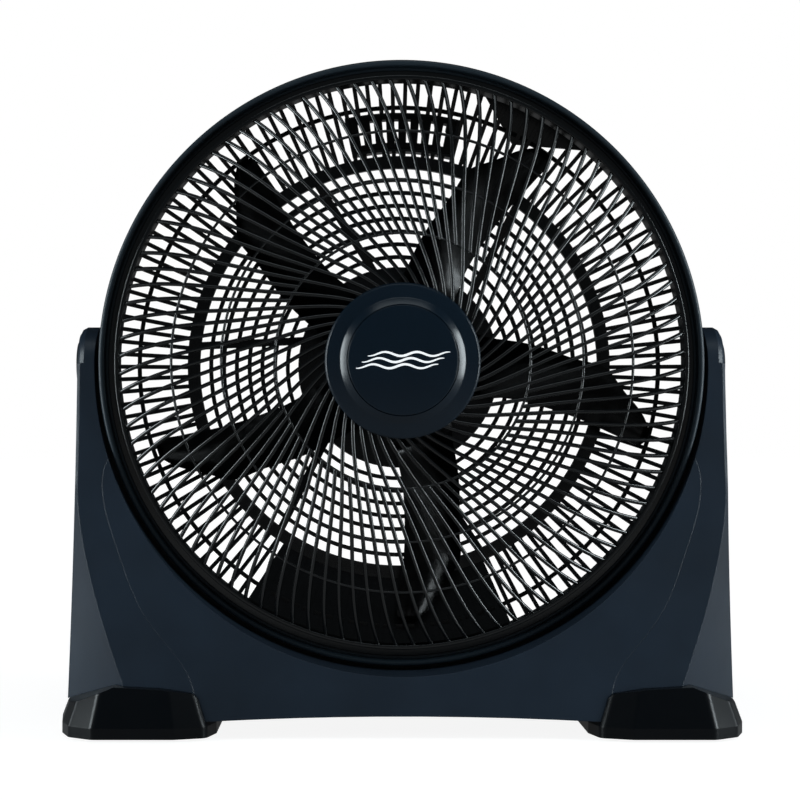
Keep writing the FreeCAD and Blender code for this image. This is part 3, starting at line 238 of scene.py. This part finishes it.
MATERIALS = {
    "stand_plastic": dict(colour=(0.0115, 0.0200, 0.0330), roughness=0.40, grain=0.25, mottle=0.22,
                          specular=0.4, edge=0.0011),
    # the feet are a darker copy of the stand plastic: painted shade for the shade the feet lie in
    "foot_plastic": dict(colour=(0.0008, 0.0016, 0.0028), roughness=0.30, grain=0.15, specular=0.25,
                         edge=0.0008),
    "rubber": dict(colour=(0.012, 0.012, 0.012), roughness=0.75, grain=0.4, grain_size=0.0004),
    "screw_steel": dict(colour=(0.12, 0.12, 0.125), roughness=0.38, metallic=1.0),
    "bush_nylon": dict(colour=(0.75, 0.74, 0.70), roughness=0.5),
    "cap_plastic": dict(colour=(0.0030, 0.0070, 0.0110), roughness=0.38, grain=0.15, specular=0.4),
    # lighter than the stand plastic: partly the rim's own dark slate, partly a painted sheen that brightens
    # its front band
    "rim_plastic": dict(colour=(0.0140, 0.0240, 0.0330), roughness=0.42, grain=0.12, specular=0.4),
    "grille_plastic": dict(colour=(0.0010, 0.0014, 0.0018), roughness=0.20, grain=0.03, specular=0.7),
    "handle_plastic": dict(colour=(0.0018, 0.0020, 0.0024), roughness=0.40, grain=0.2, specular=0.4),
    "hub_plastic": dict(colour=(0.0030, 0.0100, 0.0190), roughness=0.24, grain=0.10, specular=0.42),
    "bell_aluminium": dict(colour=(0.55, 0.56, 0.57), roughness=0.45, metallic=1.0, grain=0.3),
    "bearing_bronze": dict(colour=(0.42, 0.26, 0.12), roughness=0.4, metallic=1.0),
    "core_steel": dict(colour=(0.30, 0.30, 0.31), roughness=0.5, metallic=1.0, grain=0.2),
    "winding_copper": dict(colour=(0.70, 0.28, 0.13), roughness=0.35, metallic=1.0, grain=0.6),
    "cover_plastic": dict(colour=(0.0022, 0.0028, 0.0036), roughness=0.40, grain=0.2, specular=0.4),
    "capacitor_plastic": dict(colour=(0.05, 0.05, 0.055), roughness=0.45),
    "switch_plastic": dict(colour=(0.30, 0.28, 0.24), roughness=0.45),
    "blade_plastic": dict(colour=(0.0008, 0.0009, 0.0011), roughness=0.14, specular=0.27),
    "nut_plastic": dict(colour=(0.0020, 0.0022, 0.0025), roughness=0.35, grain=0.1, specular=0.35),
    "shaft_steel": dict(colour=(0.50, 0.50, 0.51), roughness=0.22, metallic=1.0),
    "knob_plastic": dict(colour=(0.0030, 0.0036, 0.0044), roughness=0.33, grain=0.1),
    # the print glows (glow=0.55): painted brightness on top of its own white
    "print_white": dict(colour=(0.90, 0.91, 0.92), roughness=0.45, mottle=0.02, glow=0.55),
}
FINISH = {}


def finish_of(name):
    """The material of a slot, made once."""
    if name not in FINISH:
        FINISH[name] = moulded(name, **MATERIALS[name])
    return FINISH[name]


def finish_cad_nodes():
    """Give every CAD node the finish of its own material slot."""
    for node in NODES.values():
        for slot in node.material_slots:
            slot.material = finish_of(slot.material.name)


# ---------------------------------------------------------------- mesh helpers

def polar(radius, degrees, y=0.0):
    """A point of the head at a radius and an angle about the fan's axis."""
    angle = math.radians(degrees)
    return Vector((radius * math.cos(angle), y, AXIS_Z + radius * math.sin(angle)))


def rounded(points, radii, steps=4):
    """A closed outline with its corners turned into arcs; radii has one radius for each point."""
    corners = [Vector(p) for p in points]
    outline = []
    for i, (corner, radius) in enumerate(zip(corners, radii)):
        if radius <= 0:
            outline.append(tuple(corner))
            continue
        before = (corners[i - 1] - corner).normalized()
        after = (corners[(i + 1) % len(corners)] - corner).normalized()
        half = before.angle(after) / 2
        reach = radius / math.tan(half)
        centre = corner + (before + after).normalized() * (radius / math.sin(half))
        start = corner + before * reach - centre
        end = corner + after * reach - centre
        turn = start.angle_signed(end)
        for step in range(steps + 1):
            arm = start.copy()
            arm.rotate(Matrix.Rotation(-turn * step / steps, 2))
            outline.append(tuple(centre + arm))
    return outline


SHARP_ANGLE = 35


def make_piece(name, vertices, faces, slot, body):
    """A smooth-shaded mesh object that rides on a body."""
    mesh = bpy.data.meshes.new(name)
    mesh.from_pydata([tuple(v) for v in vertices], [], faces)
    mesh.validate()
    mesh.shade_smooth()
    mesh.set_sharp_from_angle(angle=math.radians(SHARP_ANGLE))
    mesh.materials.append(finish_of(slot))
    piece = bpy.data.objects.new(name, mesh)
    bpy.context.scene.collection.objects.link(piece)
    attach(piece, body)
    return piece


def lathe(outline, segments=256, closed=True):
    """Vertices and faces of a closed (radius, y) outline turned about the fan's axis."""
    count = len(outline)
    vertices = []
    for i in range(segments):
        degrees = 360.0 * i / segments
        vertices += [polar(radius, degrees, y) for radius, y in outline]
    faces = []
    spans = count if closed else count - 1
    for i in range(segments):
        here, there = i * count, (i + 1) % segments * count
        for j in range(spans):
            k = (j + 1) % count
            faces.append((here + j, there + j, there + k, here + k))
    return vertices, faces


def capped_lathe(outline, segments=256):
    """Vertices and faces of a solid turned from an outline that starts and ends on the axis."""
    first, last = outline[0], outline[-1]
    vertices, faces = lathe(outline[1:-1], segments, closed=False)
    count = len(outline) - 2
    poles = len(vertices)
    vertices += [polar(0, 0, first[1]), polar(0, 0, last[1])]
    for i in range(segments):
        here, there = i * count, (i + 1) % segments * count
        faces.append((poles, there, here))
        faces.append((poles + 1, here + count - 1, there + count - 1))
    return vertices, faces


def sweep(centres, acrosses, section):
    """Vertices and faces of a bar: section holds (across, back) points, back being along +Y."""
    count = len(section)
    vertices = []
    for centre, across in zip(centres, acrosses):
        vertices += [centre + across * u + Vector((0, v, 0)) for u, v in section]
    faces = []
    for i in range(len(centres) - 1):
        for j in range(count):
            k = (j + 1) % count
            faces.append((i * count + j, i * count + k, (i + 1) * count + k, (i + 1) * count + j))
    last = (len(centres) - 1) * count
    faces.append(tuple(range(count - 1, -1, -1)))
    faces.append(tuple(last + j for j in range(count)))
    return vertices, faces


def turned(vertices, degrees):
    """The vertices turned about the fan's axis, from +X towards +Z."""
    turn = Matrix.Rotation(math.radians(-degrees), 4, "Y")
    centre = Vector((0, 0, AXIS_Z))
    return [turn @ (v - centre) + centre for v in vertices]


def joined(parts):
    """One list of vertices and one of faces from several."""
    vertices, faces = [], []
    for some_vertices, some_faces in parts:
        start = len(vertices)
        vertices += some_vertices
        faces += [tuple(start + index for index in face) for face in some_faces]
    return vertices, faces


# ---------------------------------------------------------------- front grille

RIB_PAIRS = 50
RIB_WIDTH = 3.5 * MM
HOOP_WIDTH = 2.4 * MM
RIB_DEPTH = 4.5 * MM
RIB_START = 64.9 * MM
RIB_END = 248.6 * MM
RING_INNER = 246.5 * MM
RING_OUTER = 250.3 * MM
FLANGE_THICK = 2.6 * MM
HUB_RADIUS = 66.7 * MM
DOME_EDGE = 248 * MM
DOME_CROWN = 82 * MM
DOME_DROP = 35 * MM
DOME_POWER = 3.2
SPIRAL_TURN = 31.5
SPIRAL_LENGTH = 48 * MM
SPIRAL_HOOK = 4.2
HOOPS = (109.5 * MM, 155.5 * MM, 199.3 * MM)


def dome_front(radius):
    """How far forward the ribs' fronts are at a radius."""
    return -DOME_CROWN + DOME_DROP * (radius / DOME_EDGE) ** DOME_POWER


def spiral_angle(radius):
    """The angle that a rib has turned through, in degrees, on its way out to a radius."""
    sweep_out = SPIRAL_TURN * (1 - math.exp(-(radius - HUB_RADIUS) / SPIRAL_LENGTH))
    return sweep_out + SPIRAL_HOOK * (radius / DOME_EDGE) ** 5


def rib_section(width, depth, taper=0.8, steps=6):
    """A bar with a half-round front, a little narrower at its back."""
    half = width / 2
    front = []
    for step in range(steps + 1):
        angle = math.pi * step / steps
        front.append((-half * math.cos(angle), half * (1 - math.sin(angle))))
    return front + [(half * taper, depth), (-half * taper, depth)]


def spiral_rib(inner, outer, stations):
    """One rib that spirals outwards over the dome."""
    radii = [inner + (outer - inner) * i / (stations - 1) for i in range(stations)]
    centres = [polar(radius, spiral_angle(radius), dome_front(radius)) for radius in radii]
    acrosses = []
    step = 0.05 * MM
    for radius, centre in zip(radii, centres):
        ahead = polar(radius + step, spiral_angle(radius + step), centre.y) - centre
        acrosses.append(Vector((-ahead.z, 0, ahead.x)).normalized())
    return sweep(centres, acrosses, rib_section(RIB_WIDTH, RIB_DEPTH))


def build_front_grille():
    """Ribs, hoops and outer ring of the front grille."""
    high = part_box("front_grille")[1]
    seat = high.y
    flange = high.x
    pitch = 360.0 / RIB_PAIRS
    long_rib = spiral_rib(RIB_START, RIB_END, 56)
    short_rib = spiral_rib(HOOPS[0] - 0.6 * MM, RIB_END, 42)
    ribs = []
    for i in range(RIB_PAIRS):
        ribs.append((turned(long_rib[0], pitch * i), long_rib[1]))
        ribs.append((turned(short_rib[0], pitch * (i + 0.5)), short_rib[1]))
    pieces = [make_piece("front_grille_ribs", *joined(ribs), "grille_plastic", "head")]

    ring_foot = seat - FLANGE_THICK
    ring_front = dome_front(RING_INNER) - 1.0 * MM
    ring = rounded(
        [(RING_INNER, seat), (RING_INNER, ring_front), (RING_OUTER, ring_front), (RING_OUTER, ring_foot),
         (flange, ring_foot), (flange, seat)],
        [0, 0.9 * MM, 0.9 * MM, 0.5 * MM, 0.5 * MM, 0],
    )
    parts = [lathe(ring, 384)]
    for radius in HOOPS:
        front = dome_front(radius) + 0.3 * MM
        section = [(radius + u, front + v) for u, v in rib_section(HOOP_WIDTH, RIB_DEPTH - 1.3 * MM)]
        parts.append(lathe(section, 320))
    pieces.append(make_piece("front_grille_hoops", *joined(parts), "grille_plastic", "head"))

    for piece in pieces:
        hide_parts("front_grille")


# ---------------------------------------------------------------- hub

# radius, y and corner rounding of the dish's outline in millimetres, from the plate's seat round to its back
DISH = (
    (47.3, -84.6, 0.2), (47.3, -90.4, 0.4), (53.7, -85.6, 2.5), (65.1, -82.9, 1.4), (66.7, -81.5, 0.8),
    (66.7, -76.0, 0.4), (63.7, -76.0, 0.4), (51.7, -81.6, 1.0),
)
PLATE_RADIUS = 47.0 * MM
PLATE_FACE = -91.3 * MM
PLATE_SEAT = -84.6 * MM
DISH_BACK = -81.6 * MM
WAVES = 3
WAVE_SPACING = 5.2 * MM
WAVE_SHIFT = 5 * MM
WAVE_HEIGHT = 1.7 * MM
WAVE_LENGTH = 27 * MM
WAVE_SPAN = 70 * MM
WAVE_WIDTH = 2.0 * MM
WAVE_LIFT = 0.12 * MM


def build_hub():
    """The dish at the middle of the front grille, its round plate and the plate's printed lines."""
    corners = [(0, PLATE_SEAT)] + [(radius * MM, y * MM) for radius, y, _ in DISH] + [(0, DISH_BACK)]
    radii = [0] + [edge * MM for _, _, edge in DISH] + [0]
    solid = capped_lathe(rounded(corners, radii, steps=5))
    dish = make_piece("front_grille_hub", *solid, "hub_plastic", "head")
    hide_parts("front_grille")

    outline = rounded(
        [(0, PLATE_FACE), (PLATE_RADIUS, PLATE_FACE), (PLATE_RADIUS, PLATE_SEAT), (0, PLATE_SEAT)],
        [0, 0.8 * MM, 0.2 * MM, 0],
    )
    plate = make_piece("hub_plate_face", *capped_lathe(outline), "hub_plastic", "head")
    lines = []
    for i in range(WAVES):
        rank = i - (WAVES - 1) / 2
        lines.append(wave_line(AXIS_Z + WAVE_SPACING * rank, WAVE_SHIFT * rank))
    waves = make_piece("hub_plate_print", *joined(lines), "print_white", "head")
    for piece in (plate, waves):
        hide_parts("hub_plate")


def wave_line(height, shift, stations=72):
    """One printed line that waves along X and thins towards both ends."""
    centres, acrosses = [], []
    for i in range(stations):
        along = i / (stations - 1)
        x = WAVE_SPAN * (along - 0.5) + shift
        turn = 2 * math.pi * (x - shift) / WAVE_LENGTH
        centres.append(Vector((x, PLATE_FACE - WAVE_LIFT, height + WAVE_HEIGHT * math.sin(turn))))
        slope = WAVE_HEIGHT * math.cos(turn) * 2 * math.pi / WAVE_LENGTH
        thinning = 0.25 + 0.75 * math.sin(math.pi * along) ** 0.5
        acrosses.append(Vector((-slope, 0, 1)).normalized() * thinning)
    half = WAVE_WIDTH / 2
    deep = 2 * WAVE_LIFT
    return sweep(centres, acrosses, [(half, 0), (-half, 0), (-half, deep), (half, deep)])


# ---------------------------------------------------------------- drum

LIP_WIDTH = 5.5 * MM
LIP_DEPTH = 11.5 * MM
DRUM_WALL = 3 * MM
LEDGE_INNER = 249 * MM
REAR_OPENING = 260 * MM
BOSS_RADIUS = 15 * MM
BOSS_ROOT = 254.9 * MM
BOSS_END = 266.4 * MM


def build_drum():
    """The head's deep outer ring: a rounded front lip, a ledge for each grille and two pivot bosses."""
    front, back = DRUM_LOW.y, DRUM_HIGH.y
    lip, wall = RIM_RADIUS - LIP_WIDTH, RIM_RADIUS - DRUM_WALL
    ledge_front = front + LIP_DEPTH
    ledge_back = ledge_front + DRUM_WALL
    rear = back - DRUM_WALL
    outline = rounded(
        [(lip, front), (RIM_RADIUS, front), (RIM_RADIUS, back), (REAR_OPENING, back),
         (REAR_OPENING, rear), (wall, rear), (wall, ledge_back),
         (LEDGE_INNER, ledge_back), (LEDGE_INNER, ledge_front), (lip, ledge_front)],
        [2.6 * MM, 2.7 * MM, 2 * MM, 0.5 * MM, 0.5 * MM, 1 * MM, 1 * MM, 0.5 * MM, 0.5 * MM, 0.6 * MM],
        steps=6,
    )
    parts = [lathe(outline, 384)]
    boss = rounded(
        [(0, BOSS_END), (BOSS_RADIUS, BOSS_END), (BOSS_RADIUS, BOSS_ROOT), (0, BOSS_ROOT)],
        [0, 0.6 * MM, 0.6 * MM, 0],
    )
    vertices, faces = capped_lathe(boss, 64)
    for side in (1, -1):
        placed = [Vector((v.y * side, v.x, v.z)) for v in vertices]
        parts.append((placed, faces if side < 0 else [face[::-1] for face in faces]))
    piece = make_piece("drum_rim", *joined(parts), "rim_plastic", "head")
    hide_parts("drum")


# ---------------------------------------------------------------- build

add_camera()
bpy.context.scene.view_settings.view_transform = "Standard"
add_surround()
add_lights()
add_floor()
finish_cad_nodes()
build_front_grille()
build_hub()
build_drum()
